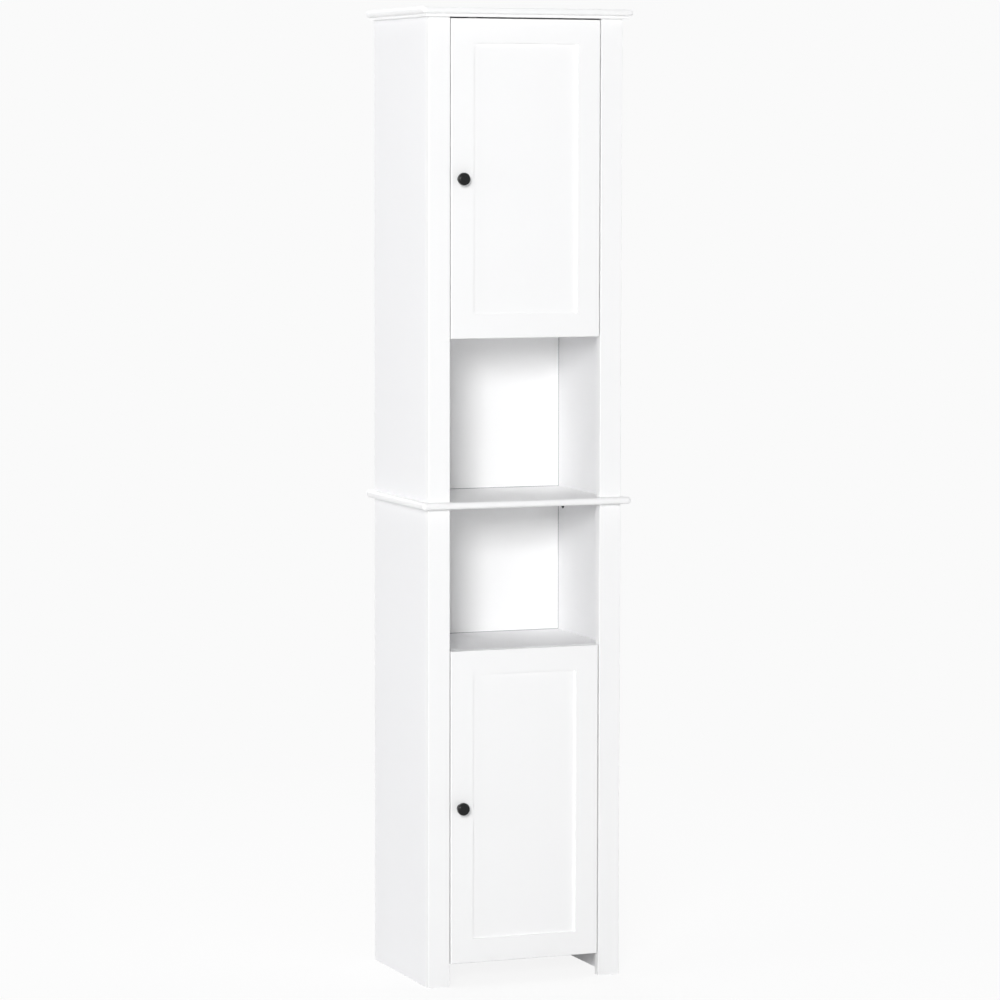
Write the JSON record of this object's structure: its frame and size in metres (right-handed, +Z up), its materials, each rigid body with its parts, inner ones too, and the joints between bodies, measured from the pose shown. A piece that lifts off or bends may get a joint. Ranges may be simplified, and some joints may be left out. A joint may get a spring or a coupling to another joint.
{
  "type": "tall bathroom cabinet",
  "caption": "Tall white free-standing bathroom cabinet with a door cupboard above and below, open niches between them, overhanging top and middle boards and black knobs.",
  "frame": {"origin": "bottom centre of the whole cabinet's bounding box, on the floor", "axes": "+X to the right seen from the front, -Y towards the front with the doors, +Z up"},
  "size_m": [0.39, 0.295, 1.7],
  "materials": {
    "white_lacquer": "satin white lacquer on fibreboard",
    "white_board": "satin white foil on fibreboard",
    "white_backboard": "smooth white face on thin hardboard",
    "black_knob": "satin black",
    "nickel_plate": "nickel plated",
    "hinge_pin_steel": "ground",
    "screw_steel": "zinc plated",
    "strike_steel": "plain sheet",
    "cam_zinc": "die cast, dull grey",
    "dowel_beech": "bare, fluted",
    "white_plastic": "moulded",
    "clear_plastic_pin": "moulded",
    "ferrite": "sintered, dull black"
  },
  "bodies": {
    "carcass": {"top_board": "white_lacquer", "mid_board": "white_lacquer", "upper_stile_left": "white_lacquer", "upper_stile_right": "white_lacquer", "lower_stile_left": "white_lacquer", "lower_stile_right": "white_lacquer", "upper_side_left": "white_board", "upper_side_right": "white_board", "lower_side_left": "white_board", "lower_side_right": "white_board", "upper_fixed_shelf": "white_board", "lower_fixed_shelf": "white_board", "bottom_board": "white_board", "upper_loose_shelf": "white_board", "lower_loose_shelf": "white_board", "wall_rail": "white_board", "base_rail": "white_board", "upper_hinge_batten": "white_board", "lower_hinge_batten": "white_board", "upper_back_panel": "white_backboard", "lower_back_panel": "white_backboard", "upper_hinge_arms": "nickel_plate", "lower_hinge_arms": "nickel_plate", "hinge_arm_screws": "screw_steel", "catch_screws": "screw_steel", "mid_board_screws": "screw_steel", "catch_poles": "strike_steel", "cam_locks": "cam_zinc", "cam_bolts": "cam_zinc", "wooden_dowels": "dowel_beech", "upper_catch": "white_plastic", "lower_catch": "white_plastic", "upper_shelf_pins": "clear_plastic_pin", "lower_shelf_pins": "clear_plastic_pin", "catch_magnets": "ferrite"},
    "upper_door": {"upper_door_hinge_stile": "white_lacquer", "upper_door_knob_stile": "white_lacquer", "upper_door_top_rail": "white_lacquer", "upper_door_bottom_rail": "white_lacquer", "upper_door_panel": "white_lacquer", "upper_knob": "black_knob", "upper_knob_screw": "screw_steel", "upper_hinge_cups": "nickel_plate", "upper_hinge_pins": "hinge_pin_steel", "upper_cup_screws": "screw_steel", "upper_strike_plate": "strike_steel", "upper_strike_screw": "screw_steel"},
    "lower_door": {"lower_door_hinge_stile": "white_lacquer", "lower_door_knob_stile": "white_lacquer", "lower_door_top_rail": "white_lacquer", "lower_door_bottom_rail": "white_lacquer", "lower_door_panel": "white_lacquer", "lower_knob": "black_knob", "lower_knob_screw": "screw_steel", "lower_hinge_cups": "nickel_plate", "lower_hinge_pins": "hinge_pin_steel", "lower_cup_screws": "screw_steel", "lower_strike_plate": "strike_steel", "lower_strike_screw": "screw_steel"}
  },
  "joints": [
    {"name": "upper_door_hinge", "type": "hinge", "parent": "carcass", "child": "upper_door", "pos_m": [0.1295, -0.121, 1.40685], "axis": [0, 0, 1], "range_deg": [0, 105]},
    {"name": "lower_door_hinge", "type": "hinge", "parent": "carcass", "child": "lower_door", "pos_m": [0.1295, -0.121, 0.31475], "axis": [0, 0, 1], "range_deg": [0, 105]}
  ]
}
